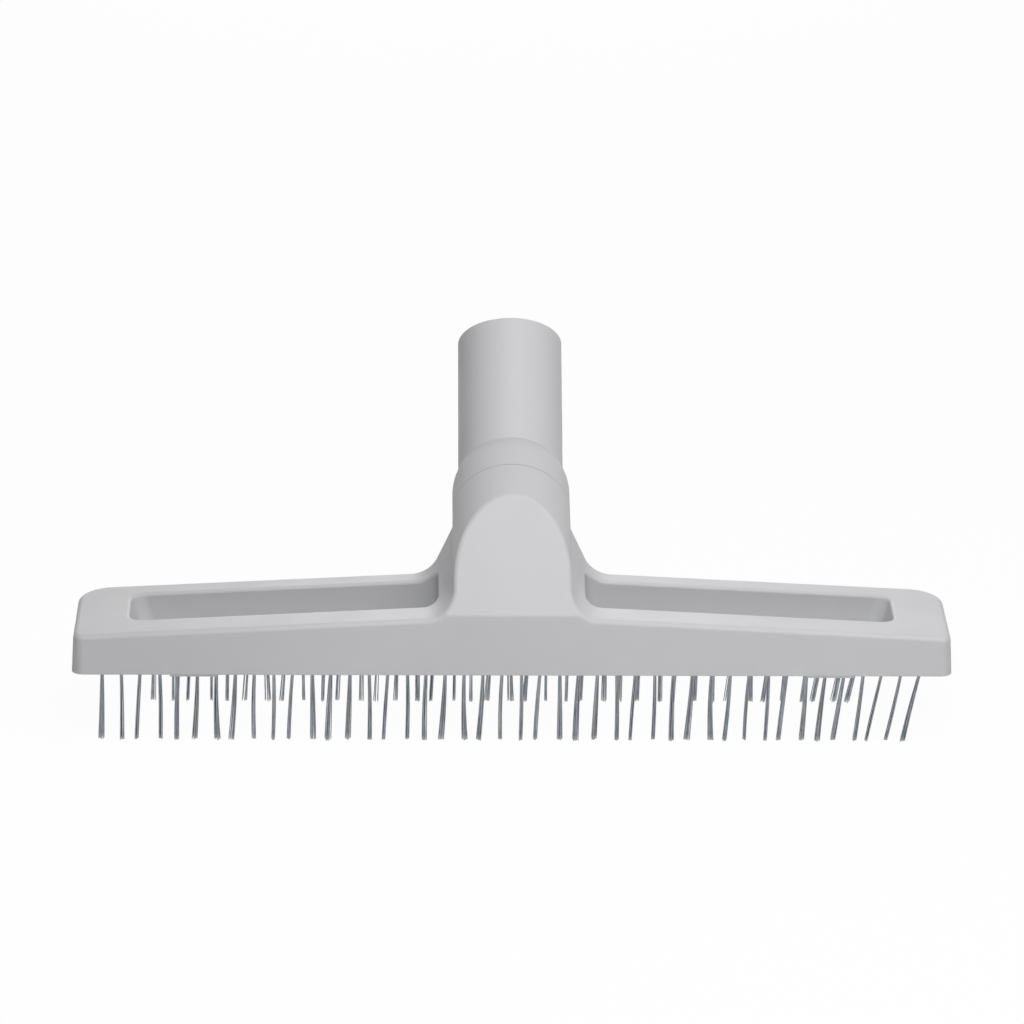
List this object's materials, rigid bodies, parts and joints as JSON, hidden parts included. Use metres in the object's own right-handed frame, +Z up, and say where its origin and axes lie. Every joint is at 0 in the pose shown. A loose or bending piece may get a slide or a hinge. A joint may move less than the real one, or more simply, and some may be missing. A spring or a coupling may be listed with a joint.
{
  "type": "pile brush carpet groomer",
  "caption": "Vacuum-wand grooming head: wide moulded bar with two long windows, rows of steel wire tufts below, a bell-shaped throat and a swivel elbow with a wand socket.",
  "frame": {"origin": "middle of the bounding box, on the plane of the wire tips that the groomer stands on", "axes": "+X along the head to the viewer's right, +Y from the bell-fronted side back towards the tube, +Z up"},
  "size_m": [0.3, 0.1232, 0.1208],
  "materials": {
    "housing_plastic": "light grey moulded plastic, satin",
    "elbow_plastic": "light grey moulded plastic, satin",
    "spring_steel": "plain spring steel",
    "felt": "dense grey felt",
    "strip_plastic": "dark grey plastic",
    "wire_steel": "drawn steel wire",
    "screw_steel": "zinc-plated steel"
  },
  "bodies": {
    "head": {"head_housing": "housing_plastic", "front_wire_strip": "strip_plastic", "rear_wire_strip": "strip_plastic", "front_wires": "wire_steel", "rear_wires": "wire_steel", "strip_screws": "screw_steel"},
    "swivel": {"swivel_elbow": "elbow_plastic", "swivel_retaining_ring": "spring_steel", "swivel_seal": "felt"}
  },
  "joints": [
    {"name": "neck_swivel", "type": "hinge", "parent": "head", "child": "swivel", "pos_m": [0, -0.03259, 0.0609], "axis": [0, 0.9659, 0.2588], "continuous": true}
  ]
}
